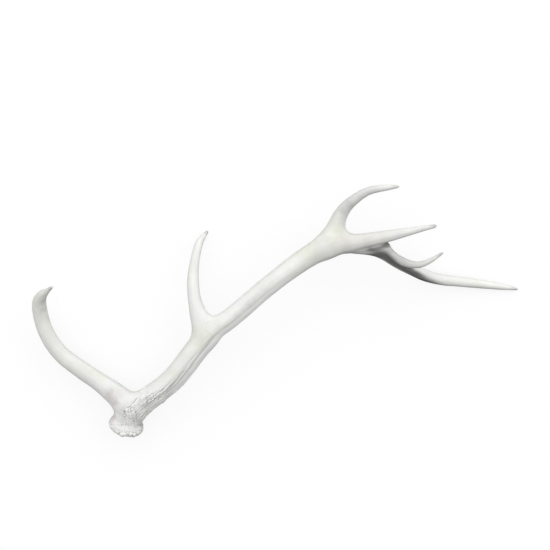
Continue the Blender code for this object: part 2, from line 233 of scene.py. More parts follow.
# Near a fork the branches share a spot, by how near each one is. A share below
# the least one isn't worked out.
SHARE_WIDTH = 3 * MM
LEAST_SHARE = 0.01
BRANCH_SHIFT = 20

# A reach is four distances along a branch: where something starts, is full,
# begins to fade and is gone.

# Furrows follow the grain. They stand high near the burr and are faint elsewhere.
FURROW_WIDTH = 2.2 * MM
FURROW_STRETCH = 9.0
FURROW_HEIGHT = 0.55 * MM
FURROW_LEVEL = 0.35
FURROW_SHARPNESS = 1.6
FAINT_FURROW_WIDTH = 7.0 * MM
FAINT_FURROW_STRETCH = 14.0
FAINT_FURROW_HEIGHT = 0.25 * MM
FURROW_FADE = (60 * MM, 300 * MM)
FURROW_LEAST = 0.14

# Small pearls crowd the neck in drifts.
DOME_STEEPNESS = 1.6
PEBBLE_WIDTH = 3.8 * MM
PEBBLE_STRETCH = 1.3
PEBBLE_HEIGHT = 1.5 * MM
PEBBLE_LEVEL = 0.4
PEBBLE_REACH = (26 * MM, 38 * MM, 75 * MM, 150 * MM)
PEBBLE_DRIFT = 0.35
PEBBLE_DRIFT_RAMP = (-0.45, 0.2)

# Low swells all over, small grains between the burr's pearls, and flutes that
# run up from the burr.
LUMP_SIZE = 34 * MM
LUMP_HEIGHT = 0.45 * MM
CRUST_SIZE = 3.6 * MM
CRUST_HEIGHT = 0.2 * MM
CRUST_LEVEL = 0.5
CRUST_FROM = 31 * MM
FLUTE_WIDTH = 5.0 * MM
FLUTE_STRETCH = 9.0
FLUTE_SHIFT = 7.3
FLUTE_DEPTH = 0.4 * MM
FLUTE_EDGE = 0.22
FLUTE_GAP = 9 * MM
FLUTE_REACH = (5 * MM, 12 * MM, 30 * MM, 45 * MM)

# Tips are smooth, and lose this share of the relief. The seal is flat, with
# open pores.
TIP_SMOOTH = 45 * MM
TIP_LOSS = 0.85
SEAL_FACE = (0.6 * MM, 2.2 * MM)
SEAL_PORE_SIZE = 2.6 * MM
SEAL_PORE_DEPTH = 0.5 * MM

# The beam is worn smooth on the side round this angle. The edge of that side,
# as a cosine, goes by how far along the beam it is.
WORN_ANGLE = -1.6
WORN_ALONG = (60 * MM, 150 * MM, 400 * MM)
WORN_EDGES = (0.52, 0.0, -0.4)
WORN_SOFTNESS = 0.3
WORN_LEAST = 0.2

# A grey wash on the beam: how far round it and how wide, at these places along it.
WASH_ALONG = (60 * MM, 140 * MM, 195 * MM, 260 * MM, 400 * MM)
WASH_ANGLES = (0.05, 0.08, 0.38, 0.42, -0.2)
WASH_WIDTHS = (6.5 * MM, 6.5 * MM, 4.5 * MM, 5 * MM, 11 * MM)
WASH_REACH = (45 * MM, 90 * MM, 330 * MM, 430 * MM)

# Beyond the wash the flank is paler, which takes away some of the low beam's streaks.
PALE_FLANK_ANGLES = (0.3, 0.6)
PALE_FLANK_REACH = (45 * MM, 90 * MM, 300 * MM, 500 * MM)
STREAK_REACH = (45 * MM, 100 * MM, 170 * MM, 290 * MM)
STREAK_LOSS = 0.4

# The low beam has a flat on its outer side, between these two angles.
FLAT_FROM = 0.18
FLAT_TO = 1.25
FLAT_SHARE = 0.42
FLAT_REACH = (45 * MM, 80 * MM, 380 * MM, 480 * MM)

# A sharp groove, darkened with painted shade, runs just past the flat's outer
# edge, with a ridge beside it. Both wander by (size, length).
GROOVE_ANGLE = 1.42
GROOVE_WIDTH = 2.3 * MM
GROOVE_DEPTH = 0.9 * MM
GROOVE_SHADE_WIDTH = 3.0 * MM
RIDGE_ANGLE = 1.02
RIDGE_HEIGHT = 0.15 * MM
EDGE_WANDER = (0.06, 21 * MM)
EDGE_REACH = (28 * MM, 45 * MM, 190 * MM, 280 * MM)

# Grooves and ridges on the neck and the burr, in millimetres: how deep (a ridge
# is below zero), how wide, and the x and y of the points that each runs through.
NECK_LINES = (
    (1.1, 2.0, ((-301.5, -202.5), (-288, -203.5), (-270, -203.5))),
    (3.6, 2.6, ((-253.5, -207.5), (-248, -205), (-240, -201.5))),
    (0.9, 1.8, ((-276, -178), (-275, -196.5))),
    (-0.8, 2.0, ((-270.5, -175.5), (-269, -201.5))),
    (0.8, 1.8, ((-264, -171), (-261.5, -183.5), (-258, -203.5))),
    (0.8, 1.8, ((-254.5, -178), (-253, -192.5), (-250.5, -207))),
    (
        0.8,
        1.2,
        ((-268.5, -171.5), (-264.5, -168.5), (-261.5, -163.5), (-257, -160.5), (-253.5, -154.5)),
    ),
    (0.9, 3.4, ((-302, -179.5), (-295.5, -180.5), (-288, -182.5))),
    (1.1, 5, ((-197, -154), (-177.5, -136), (-157.5, -113))),
    (1.6, 5, ((-239.5, -221.5), (-237.5, -207), (-235, -194.5))),
)
NECK_LINE_FACING = (-0.5, 0.2)

# Painted shade on the flank of the crown's back fork, which faces away from the
# light: stations, how far outside them it fades, and the way that it faces.
FORK_SHADE_LINE = (
    (154, 106, 52, 5),
    (172, 108, 56, 10),
    (196, 108, 62, 14.4),
    (218, 92.5, 54, 13.5),
    (240.5, 80, 45, 11.8),
    (263, 64.5, 32, 8.2),
    (286, 56.5, 22, 5.8),
    (308.5, 52, 15, 2.7),
)
FORK_SHADE_REACH = (-3 * MM, 6 * MM)
FORK_SHADE_WAY = (-0.2, -0.95, -0.2)
FORK_SHADE_SLOPE = (-0.4, 0.55)

# Soft patches of tint: (x, y, z, radius) in millimetres. Each fades between
# these shares of its radius.
PATCH_EDGES = (0.3, 1.3)
BLUSH_SPOTS = (
    (-295, -153, 48, 17),
    (-297, -192, 38, 13),
    (-319, -137.5, 40, 10),
    (-306, -142.5, 46, 9),
)
GREEN_SPOTS = (
    (-322, -119, 46, 14),
    (-418, -10, 60, 8),
    (-338.5, -108, 44, 11),
    (-291.5, -211.5, 44, 9),
    (58.5, 108.5, 92, 24),
    (104.5, 140.5, 92, 24),
    (-137.5, -44.5, 93, 26),
    (-116, -48.5, 93, 18),
    (-188.5, -106, 76, 10),
)
WARM_SPOTS = (
    (112, 122.5, 92, 18),
    (137, 129.5, 92, 16),
    (162, 133.5, 90, 16),
    (186.5, 137, 92, 14),
)

# Where painted shade darkens the upper side a little, where the light falls
# strongest, and where the skin is smudged.
TOP_SHADE_SPOTS = (
    (-290, -160, 50, 42),
    (-275, -195, 45, 36),
    (-352, -106, 45, 40),
    (-400, -62, 45, 36),
    (-146, 22, 70, 40),
    (-149, 95, 45, 40),
    (205, 139, 90, 34),
    (255, 149, 97, 26),
    (75, 108, 92, 38),
    (-129, -9.5, 85, 34),
    (162, 135, 90, 24),
    (133, 129.5, 92, 22),
)
TOP_SHADE_FACING = (0.65, 0.95)
# Some of the smudges, on the neck and on the brow tine's hook, are painted shade.
SMUDGE_AND_SHADE_SPOTS = (
    (-255, -192.5, 50, 12),
    (-258, -174.5, 54, 10),
    (-247, -207, 34, 8),
    (-227, -157.5, 62, 9),
    (-210.5, -144.5, 64, 7),
    (-235, -173, 50, 10),
    (-299, -180.5, 36, 6),
    (-287, -160, 50, 9),
    (-274, -178, 55, 9),
    (-303, -143, 52, 9),
    (117, 183, 96, 9),
    (128, 192.5, 103, 10),
    (-418, 22.5, 78, 7),
    (-421, 6, 62, 8),
)

# Tines with a grey tint: how strong it is, and where along the tine it lies. On
# the front tine it is the bone's own grey; on the crown's short tine it is painted
# shade under the middle tine.
GREY_TINES = {
    "crown_short_tine": (0.85, (0.0, 10 * MM, 110 * MM, 180 * MM)),
    "crown_front_tine": (0.4, (40 * MM, 80 * MM, 140 * MM, 170 * MM)),
}

# Painted shade in the crease under the middle tine, down to the notch of the back fork.
CREASE_SHADE_LINE = (
    (150.5, 114.5, 67, 4.2),
    (161, 115, 68, 5.6),
    (172, 115.5, 70, 6.2),
    (185, 118.5, 74, 6.4),
    (197, 122.5, 77, 6.7),
)
CREASE_SHADE_REACH = (-2.5 * MM, 2.5 * MM)

# Painted shade on the crown's side that faces down and away from the light.
FLANK_WAY = (0.1, -0.96, -0.26)
FLANK_SLOPE = (0.5, 1.0)
FLANK_FROM = (70 * MM, 115 * MM)

# Hollows are measured from the skin evened out by this many rounds.
HOLLOW_ROUNDS = 6
HOLLOW_DEPTH = 0.35 * MM
LOW_BEAM_FADE = (90 * MM, 330 * MM)
ONE_BRANCH_RAMP = (0.6, 0.97)

# Spots off the beam count as this far along it, but the burr's and neck's don't.
OFF_BEAM = 600 * MM
NECK_REACH = 58.5 * MM


def smooth_path(stations):
    """Evenly spaced rows of x, y, z and radius on a smooth curve through the stations."""
    knots = np.array(stations, float) * MM
    chords = np.linalg.norm(np.diff(knots[:, :3], axis=0), axis=1)
    times = np.concatenate(([0.0], np.cumsum(np.sqrt(chords))))
    slopes = np.gradient(knots, times, axis=0)
    rows = []
    for i, span in enumerate(np.diff(times)):
        t = np.linspace(0.0, 1.0, SPAN_STEPS, endpoint=False)[:, None]
        rows.append(
            (2 * t**3 - 3 * t**2 + 1) * knots[i]
            + (t**3 - 2 * t**2 + t) * span * slopes[i]
            + (3 * t**2 - 2 * t**3) * knots[i + 1]
            + (t**3 - t**2) * span * slopes[i + 1]
        )
    fine = np.concatenate(rows + [knots[-1:]])
    run = np.linalg.norm(np.diff(fine[:, :3], axis=0), axis=1)
    along = np.concatenate(([0.0], np.cumsum(run)))
    spots = np.linspace(0.0, along[-1], round(along[-1] / PATH_STEP) + 1)
    return np.stack([np.interp(spots, along, column) for column in fine.T], axis=1)


def side_vectors(points):
    """A unit vector square to the path at each point, turned as little as possible."""
    ways = np.gradient(points, axis=0)
    ways /= np.linalg.norm(ways, axis=1, keepdims=True)
    side = Vector((0, 0, 1))
    sides = []
    for way in ways:
        side = side - side.dot(Vector(way)) * Vector(way)
        side.normalize()
        sides.append(side[:])
    return ways, np.array(sides)


class Branch:
    """A tapered tube along a smooth path, which can say how far any spot is from it."""

    def __init__(self, name, stations, blend, furrowed):
        rows = smooth_path(stations)
        self.name = name
        self.blend = blend
        self.furrowed = furrowed
        self.points = rows[:, :3]
        self.radii = rows[:, 3]
        self.ways, self.sides = side_vectors(self.points)
        run = np.linalg.norm(np.diff(self.points, axis=0), axis=1)
        self.along = np.concatenate(([0.0], np.cumsum(run)))
        self.low = self.points.min(0) - self.radii.max() - FAR_OFF
        self.high = self.points.max(0) + self.radii.max() + FAR_OFF

    def measure(self, spots):
        """For each spot: its distance outside the tube, the way out, how far along, the angle."""
        gap = np.full(len(spots), FAR_OFF)
        out = np.zeros((len(spots), 3))
        along = np.zeros(len(spots))
        angle = np.zeros(len(spots))
        near = np.flatnonzero(((spots > self.low) & (spots < self.high)).all(1))
        for start in range(0, len(near), CHUNK):
            rows = near[start : start + CHUNK]
            gap[rows], out[rows], along[rows], angle[rows] = self.measure_near(spots[rows])
        return gap, out, along, angle

    def measure_near(self, spots):
        start = self.points[:-1]
        span = np.diff(self.points, axis=0)
        square = (span**2).sum(1)
        reach = spots @ span.T - (start * span).sum(1)
        share = np.clip(reach / square, 0.0, 1.0)
        apart = (spots**2).sum(1)[:, None] - 2 * spots @ start.T + (start**2).sum(1)
        apart = np.sqrt(np.maximum(apart - 2 * share * reach + share**2 * square, 0.0))
        gaps = apart - self.radii[:-1] - share * np.diff(self.radii)
        best = gaps.argmin(1)
        rows = np.arange(len(spots))
        share = share[rows, best]
        out = spots - start[best] - share[:, None] * span[best]
        out /= np.maximum(np.linalg.norm(out, axis=1, keepdims=True), 1e-9)
        along = self.along[best] + share * np.sqrt(square[best])
        side = self.sides[best]
        third = np.cross(self.ways[best], side)
        angle = np.arctan2((out * third).sum(1), (out * side).sum(1))
        return gaps[rows, best], out, along, angle


def blend_fields(near, near_out, far, far_out, depth):
    """The smooth lower envelope of two distances, with its slope."""
    share = np.clip(0.5 + 0.5 * (far - near) / depth, 0.0, 1.0)
    value = far + (near - far) * share - depth * share * (1 - share)
    slope = far_out + (near_out - far_out) * share[:, None]
    return value, slope


def burr_field(spots):
    """Distance outside the burr's rim, and the way out of it."""
    axis = np.array(BURR_AXIS)
    offset = spots - np.array(BURR_CENTRE)
    height = offset @ axis
    flat = offset - height[:, None] * axis
    reach = np.maximum(np.linalg.norm(flat, axis=1), 1e-9)
    round_way = flat / reach[:, None]
    apart = np.maximum(np.hypot(reach - BURR_RADIUS, height), 1e-9)
    out = (reach - BURR_RADIUS)[:, None] * round_way + height[:, None] * axis
    return apart - BURR_THICKNESS, out / apart[:, None]


def seal_height(spots):
    """How far each spot is from the burr's middle, up the burr's axis."""
    return (spots - np.array(BURR_CENTRE)) @ np.array(BURR_AXIS)


def antler_field(spots, branches):
    """Distance outside the whole blended antler, and its slope."""
    value, slope, _, _ = branches[0].measure(spots)
    rim, rim_out = burr_field(spots)
    value, slope = blend_fields(value, slope, rim, rim_out, BURR_BLEND)
    for branch in branches[1:]:
        gap, out, _, _ = branch.measure(spots)
        value, slope = blend_fields(value, slope, gap, out, branch.blend)
    below = -seal_height(spots) - SEAL_DEPTH
    down = np.broadcast_to(np.array(BURR_AXIS), spots.shape)
    value, slope = blend_fields(-value, -slope, -below, down, SEAL_ROUND)
    return -value, -slope


def settle(spots, branches, passes):
    """Moves spots onto the antler's skin. Also gives the way out of it."""
    for _ in range(passes):
        value, slope = antler_field(spots, branches)
        steep = np.maximum((slope**2).sum(1), SMALLEST_SLOPE)
        spots = spots - slope * (value / steep)[:, None]
    slope = antler_field(spots, branches)[1]
    return spots, slope / np.maximum(np.linalg.norm(slope, axis=1, keepdims=True), 1e-9)


def ring_place(branch, row):
    """Where a unit ring goes, to lie square on the branch's path at its radius."""
    way = Vector(branch.ways[row])
    side = Vector(branch.sides[row])
    turn = Matrix((side, way.cross(side), way)).transposed().to_4x4()
    return Matrix.Translation(branch.points[row]) @ turn @ Matrix.Scale(branch.radii[row], 4)


def sweep_branch(bm, branch):
    """A closed tube along a branch: a ring, extruded step by step."""
    place = ring_place(branch, 0)
    ring = bmesh.ops.create_circle(
        bm, cap_ends=True, segments=RING_SIDES, radius=1.0, matrix=place
    )
    edges = list(ring["verts"][0].link_faces[0].edges)
    for row in range(1, len(branch.points)):
        step = bmesh.ops.extrude_edge_only(bm, edges=edges)["geom"]
        edges = [item for item in step if isinstance(item, bmesh.types.BMEdge)]
        edges = [edge for edge in edges if edge.is_boundary]
        verts = [item for item in step if isinstance(item, bmesh.types.BMVert)]
        next_place = ring_place(branch, row)
        bmesh.ops.transform(bm, matrix=next_place @ place.inverted(), verts=verts)
        place = next_place
    bmesh.ops.contextual_create(bm, geom=edges)


def burr_drum(bm):
    """The rim of the burr, as a short drum that the skin then settles on."""
    turn = BURR_AXIS.to_track_quat("Z", "Y").to_matrix().to_4x4()
    outer = BURR_RADIUS + 0.5 * BURR_THICKNESS
    bmesh.ops.create_cone(
        bm,
        cap_ends=True,
        segments=BURR_SIDES,
        radius1=outer,
        radius2=outer,
        depth=2 * SEAL_DEPTH,
        matrix=Matrix.Translation(BURR_CENTRE) @ turn,
    )


def finished_mesh(obj):
    """An object's mesh with its modifiers applied. The object itself is removed."""
    depsgraph = bpy.context.evaluated_depsgraph_get()
    mesh = bpy.data.meshes.new_from_object(obj.evaluated_get(depsgraph))
    bpy.data.objects.remove(obj)
    return mesh


def linked_object(name, data):
    obj = bpy.data.objects.new(name, data)
    bpy.context.scene.collection.objects.link(obj)
    return obj


def joined_skin(branches):
    """One closed skin round all the branches and the burr, as an even net."""
    bm = bmesh.new()
    for branch in branches:
        sweep_branch(bm, branch)
    burr_drum(bm)
    bmesh.ops.recalc_face_normals(bm, faces=bm.faces)
    mesh = bpy.data.meshes.new("skin")
    bm.to_mesh(mesh)
    bm.free()
    obj = linked_object("skin", mesh)
    net = obj.modifiers.new("net", "REMESH")
    net.mode = "VOXEL"
    net.voxel_size = VOXEL
    net.adaptivity = 0.0
    return finished_mesh(obj)


def mesh_spots(mesh):
    spots = np.empty(len(mesh.vertices) * 3, np.float32)
    mesh.vertices.foreach_get("co", spots)
    return spots.reshape(-1, 3).astype(float)


def set_spots(mesh, spots):
    mesh.vertices.foreach_set("co", spots.astype(np.float32).ravel())
    mesh.update()


def neighbour_mean(mesh, values):
    """For each vertex, the mean of the values at the other ends of its edges."""
    pairs = np.empty(len(mesh.edges) * 2, np.int32)
    mesh.edges.foreach_get("vertices", pairs)
    a, b = pairs.reshape(-1, 2).T
    total = np.zeros_like(values)
    np.add.at(total, a, values[b])
    np.add.at(total, b, values[a])
    count = np.bincount(pairs, minlength=len(values))
    return total / (count[:, None] if values.ndim > 1 else count)


def relax(mesh, spots):
    """Evens the net out by moving each spot half way to the middle of its neighbours."""
    return 0.5 * (spots + neighbour_mean(mesh, spots))


def settle_mesh(mesh, branches, rounds, passes):
    spots = mesh_spots(mesh)
    for _ in range(rounds):
        spots, _ = settle(relax(mesh, spots), branches, passes)
    set_spots(mesh, spots)


def refine(mesh, wanted):
    """Splits each face that has a wanted corner into four."""
    bm = bmesh.new()
    bm.from_mesh(mesh)
    edges = {
        edge
        for face in bm.faces
        if any(wanted[vert.index] for vert in face.verts)
        for edge in face.edges
    }
    bmesh.ops.subdivide_edges(bm, edges=list(edges), cuts=1, use_grid_fill=True)
    bm.to_mesh(mesh)
    bm.free()


def burr_reach(spots):
    return np.linalg.norm(spots - np.array(BURR_CENTRE), axis=1)


def free_tips(branches):
    """The branches that end in a tip. The webs' ends are buried in other branches."""
    return [branch for branch in branches if branch.name not in WEBS]


def tip_distance(spots, branches):
    """How far each spot is from the nearest tip."""
    tips = free_tips(branches)
    ends = [np.linalg.norm(spots - branch.points[-1], axis=1) for branch in tips]
    return np.min(ends, axis=0)


def pearl_places():
    """Centres, heights and widths of the pearls round the burr."""
    chance = np.random.default_rng(PEARL_SEED)
    side = BURR_AXIS.orthogonal().normalized()
    third = BURR_AXIS.cross(side)
    pearls = []
    for count, tilt, height, width in PEARL_ROWS:
        for i in range(count):
            turn = (i + chance.uniform(-PEARL_STRAY, PEARL_STRAY)) * math.tau / count
            lift = tilt + chance.uniform(-PEARL_TILT_STRAY, PEARL_TILT_STRAY)
            way = math.cos(turn) * side + math.sin(turn) * third
            rim = BURR_THICKNESS * (math.cos(lift) * way + math.sin(lift) * BURR_AXIS)
            size = chance.uniform(*PEARL_SIZES)
            width_now = width * chance.uniform(*PEARL_WIDTHS)
            pearls.append((*(BURR_CENTRE + BURR_RADIUS * way + rim), size * height, width_now))
    return np.array(pearls)


def knob_places(beam):
    """Centres, heights and widths of the knobs on the lowest stretch of the beam."""
    chance = np.random.default_rng(KNOB_SEED)
    knobs = []
    for _ in range(KNOBS):
        along = chance.uniform(*KNOB_STRETCH)
        turn = chance.uniform(0, math.tau)
        row = np.searchsorted(beam.along, along)
        third = np.cross(beam.ways[row], beam.sides[row])
        way = math.cos(turn) * beam.sides[row] + math.sin(turn) * third
        size = chance.uniform(*KNOB_SIZES)
        spot = beam.points[row] + beam.radii[row] * way
        knobs.append((*spot, size * KNOB_HEIGHT, size * KNOB_WIDTH))
    return np.array(knobs)


def bumps(spots, places):
    """Height added at each spot by rounded bumps."""
    total = np.zeros(len(spots))
    for x, y, z, height, width in places:
        apart = ((spots - (x, y, z)) ** 2).sum(1)
        total = np.maximum(total, height * np.sqrt(np.maximum(1.0 - apart / width**2, 0.0)))
    return total


def ramp(values, start, end):
    """0 before the start, 1 after the end, and an even S-curve between them."""
    t = np.clip((values - start) / (end - start), 0.0, 1.0)
    return t * t * (3 - 2 * t)


def noise_at(spots):
    """Smooth noise, about -1 to 1, with features one unit apart."""
    return np.array([noise.noise(spot) for spot in spots.tolist()])


def cell_domes(spots):
    """Close-packed domes of about one unit across: 1 at their tops, 0 in the cracks."""
    gaps = np.array([noise.voronoi(spot)[0][:2] for spot in spots.tolist()])
    return np.clip((gaps[:, 1] - gaps[:, 0]) * DOME_STEEPNESS, 0.0, 1.0)


class Grain:
    """Where each spot lies on its branch: which one, how far along, and round it."""

    def __init__(self, spots, branches):
        found = [branch.measure(spots) for branch in branches]
        self.gaps, _, self.alongs, self.angles = (np.array(rows) for rows in zip(*found))
        pairs = zip(self.alongs, branches)
        self.radii = [np.interp(along, branch.along, branch.radii) for along, branch in pairs]
        weights = np.exp(-np.maximum(self.gaps - self.gaps.min(0), 0.0) / SHARE_WIDTH)
        self.weights = weights / weights.sum(0)
        self.best = self.gaps.argmin(0)

    def line(self, index, width, stretch):
        """Spots in a space where the grain runs along z, one unit to a furrow's width."""
        radius, along, angle = self.radii[index], self.alongs[index], self.angles[index]
        across = radius * np.cos(angle) / width, radius * np.sin(angle) / width
        return np.stack([*across, along / (width * stretch) + BRANCH_SHIFT * index], axis=1)

    def zone(self, reach, index=0):
        """1 on a branch in the middle of a reach of it."""
        return self.weights[index] * stretch_zone(self.alongs[index], reach)


def gutters(grain):
    """Depth of the long gutters at each spot."""
    gap, along, angle = grain.gaps[0], grain.alongs[0], grain.angles[0]
    wander = sum(
        size * np.sin(along / length + turn * angle) for size, length, turn in GUTTER_WANDER
    )
    wave = np.cos(GUTTERS * angle + GUTTER_TWIST * along / GUTTER_FADE + wander)
    rise = np.clip((along - GUTTER_START) / GUTTER_RISE, 0.0, 1.0)
    fade = np.clip(1.0 - along / GUTTER_FADE, 0.0, 1.0)
    on_beam = np.clip(1.0 - gap / GUTTER_EDGE, 0.0, 1.0)
    return GUTTER_DEPTH * rise * fade * on_beam * np.maximum(wave, 0.0) ** GUTTER_SHARPNESS


def furrows(grain, branches, rough):
    """Height of the fine furrows that follow the grain of each branch."""
    total = np.zeros(grain.gaps.shape[1])
    for index, branch in enumerate(branches):
        rows = np.flatnonzero(grain.weights[index] > LEAST_SHARE)
        fine = noise_at(grain.line(index, FURROW_WIDTH, FURROW_STRETCH)[rows])
        wide = noise_at(grain.line(index, FAINT_FURROW_WIDTH, FAINT_FURROW_STRETCH)[rows])
        ridge = FURROW_LEVEL - np.abs(fine) * FURROW_SHARPNESS
        height = FURROW_HEIGHT * rough[rows] * ridge
        height += FAINT_FURROW_HEIGHT * wide
        total[rows] += branch.furrowed * grain.weights[index][rows] * height
    return total


def pebbles(grain):
    """The neck's small pearls: above 0 on them, below 0 between them."""
    zone = grain.zone(PEBBLE_REACH)
    rows = np.flatnonzero(zone > LEAST_SHARE)
    places = grain.line(0, PEBBLE_WIDTH, PEBBLE_STRETCH)[rows]
    crowd = ramp(noise_at(places * PEBBLE_DRIFT), *PEBBLE_DRIFT_RAMP)
    total = np.zeros(len(zone))
    total[rows] = zone[rows] * crowd * (cell_domes(places) - PEBBLE_LEVEL)
    return total


def burr_crust(spots):
    """Height of the small grains between the burr's pearls."""
    reach = burr_reach(spots)
    rows = np.flatnonzero(reach < FINEST_REACH)
    zone = 1 - ramp(reach[rows], CRUST_FROM, FINEST_REACH)
    total = np.zeros(len(spots))
    total[rows] = CRUST_HEIGHT * zone * (cell_domes(spots[rows] / CRUST_SIZE) - CRUST_LEVEL)
    return total


def stretch_zone(values, reach):
    """0 outside a stretch, 1 in its middle."""
    return ramp(values, *reach[:2]) * (1 - ramp(values, *reach[2:]))


def flutes(grain):
    """Depth of the uneven flutes that run up from the burr."""
    on_beam = np.clip(1 - grain.gaps[0] / FLUTE_GAP, 0.0, 1.0)
    zone = stretch_zone(grain.alongs[0], FLUTE_REACH) * on_beam
    rows = np.flatnonzero(zone > LEAST_SHARE)
    wave = noise_at(grain.line(0, FLUTE_WIDTH, FLUTE_STRETCH)[rows] + FLUTE_SHIFT)
    total = np.zeros(len(zone))
    total[rows] = FLUTE_DEPTH * zone[rows] * np.clip(1 - np.abs(wave) / FLUTE_EDGE, 0.0, 1.0)
    return total


def flat_side(grain):
    """Depth of the long flat down the outer side of the beam."""
    half = (FLAT_TO - FLAT_FROM) / 2
    lean = np.clip(grain.angles[0] - FLAT_FROM - half, -half, half)
    depth = FLAT_SHARE * grain.radii[0] * (1 - math.cos(half) / np.cos(lean))
    return depth * grain.zone(FLAT_REACH)


def edge_line(grain, middle, width):
    """How near each spot is to a line along the low beam, this far round it."""
    size, length = EDGE_WANDER
    apart = grain.angles[0] - middle - size * np.sin(grain.alongs[0] / length)
    return grain.zone(EDGE_REACH) * np.exp(-((apart * grain.radii[0] / width) ** 2))


def grey_wash(grain):
    """How deep in the beam's grey wash each spot is."""
    along = grain.alongs[0]
    apart = (grain.angles[0] - np.interp(along, WASH_ALONG, WASH_ANGLES)) * grain.radii[0]
    apart /= np.interp(along, WASH_ALONG, WASH_WIDTHS)
    return grain.zone(WASH_REACH) * np.exp(-(apart**2))


def pale_flank_depth(grain):
    """How deep in the beam's paler flank each spot is."""
    return grain.zone(PALE_FLANK_REACH) * ramp(grain.angles[0], *PALE_FLANK_ANGLES)


def grey_tines(grain, branches):
    """How grey each spot of the crown's greyer tines is."""
    total = np.zeros(grain.gaps.shape[1])
    for index, branch in enumerate(branches):
        if branch.name in GREY_TINES:
            share, reach = GREY_TINES[branch.name]
            total += share * grain.zone(reach, index)
    return total


def neck_lines(spots, out):
    """Depth of the grooves and ridges on the neck and the burr."""
    total = np.zeros(len(spots))
    for depth, width, points in NECK_LINES:
        line = np.array(points, float) * MM
        nearest = np.full(len(spots), FAR_OFF)
        for start, end in zip(line, line[1:]):
            span = end - start
            share = np.clip((spots[:, :2] - start) @ span / (span @ span), 0.0, 1.0)
            apart = spots[:, :2] - start - share[:, None] * span
            nearest = np.minimum(nearest, np.linalg.norm(apart, axis=1))
        total += depth * MM * np.exp(-((nearest / (width * MM)) ** 2))
    return total * ramp(out[:, 2], *NECK_LINE_FACING)


def worn_side(grain):
    """How worn each spot of the skin is. Only one side of the low beam is rough."""
    edge = np.interp(grain.alongs[0], WORN_ALONG, WORN_EDGES)
    lean = np.cos(grain.angles[0] - WORN_ANGLE) - edge
    return 1 - grain.weights[0] * (1 - ramp(lean, -WORN_SOFTNESS, WORN_SOFTNESS))


def burr_wear(spots):
    """The share of their height that the burr's pearls keep."""
    offset = spots - np.array(BURR_CENTRE)
    offset -= np.outer(offset @ np.array(BURR_AXIS), np.array(BURR_AXIS))
    offset /= np.maximum(np.linalg.norm(offset, axis=1, keepdims=True), 1e-9)
    return 1 - (1 - BURR_WORN_LEAST) * ramp(offset @ np.array(BURR_WORN_WAY), *BURR_WORN_RAMP)


def patches(spots, places):
    """How deep in any of some soft round patches each spot is."""
    start, end = PATCH_EDGES
    total = np.zeros(len(spots))
    for x, y, z, radius in places:
        apart = np.linalg.norm(spots - np.array((x, y, z)) * MM, axis=1)
        total = np.maximum(total, 1 - ramp(apart, start * radius * MM, end * radius * MM))
    return total


def carve(mesh, branches, box):
    """Gives the settled skin its relief, and keeps what its finish follows as attributes."""
    spots, out = settle(mesh_spots(mesh), branches, 1)
    grain = Grain(spots, branches)
    on_neck = burr_reach(spots) < NECK_REACH
    along = np.where((grain.best == 0) | on_neck, grain.alongs[0], OFF_BEAM)
    rough = np.maximum(1 - ramp(along, *FURROW_FADE), FURROW_LEAST)
    near_tip = 1 - ramp(tip_distance(spots, branches), 0.0, TIP_SMOOTH)
    on_seal = 1 - ramp(seal_height(spots) + SEAL_DEPTH, *SEAL_FACE)
    worn = worn_side(grain)
    wear = burr_wear(spots)
    rough_share = 1 - (1 - WORN_LEAST) * worn
    small_pearls = pebbles(grain) * rough_share

    rise = bumps(spots, pearl_places()) * wear
    rise = np.maximum(rise, bumps(spots, knob_places(branches[0])))
    rise -= gutters(grain) * rough_share
    rise += furrows(grain, branches, rough) * rough_share
    rise += PEBBLE_HEIGHT * small_pearls
    rise += burr_crust(spots) * wear
    rise -= flutes(grain) * wear
    rise -= flat_side(grain)
    rise -= GROOVE_DEPTH * edge_line(grain, GROOVE_ANGLE, GROOVE_WIDTH)
    rise += RIDGE_HEIGHT * edge_line(grain, RIDGE_ANGLE, GROOVE_WIDTH)
    rise -= neck_lines(spots, out)
    rise += LUMP_HEIGHT * noise_at(spots / LUMP_SIZE)
    rise *= (1 - on_seal) * (1 - TIP_LOSS * near_tip)
    spots += out * rise[:, None]
    for branch in free_tips(branches):
        end = branch.points[-1] + branch.radii[-1] * branch.ways[-1]
        spots[((spots - end) ** 2).sum(1).argmin()] = end
    set_spots(mesh, np.clip(trimmed_seal(spots, on_seal), box[0], box[1]))

    streaky = (1 - worn) * stretch_zone(grain.alongs[0], STREAK_REACH)
    masks = {
        "low_beam": 1 - ramp(along, *LOW_BEAM_FADE),
        "near_tip": near_tip,
        "seal": on_seal,
        "small_pearls": small_pearls,
        "streaky": streaky * (1 - STREAK_LOSS * pale_flank_depth(grain)),
    }
    keep_attributes(mesh, branches, grain, out, masks)


def trimmed_seal(spots, on_seal):
    """The spots with those past the seal moved back to it, deeper where it has pores."""
    pores = SEAL_PORE_DEPTH * on_seal * (1 - cell_domes(spots / SEAL_PORE_SIZE))
    short = np.maximum(SEAL_SKIM - SEAL_DEPTH + pores - seal_height(spots), 0.0)
    return spots + short[:, None] * np.array(BURR_AXIS)


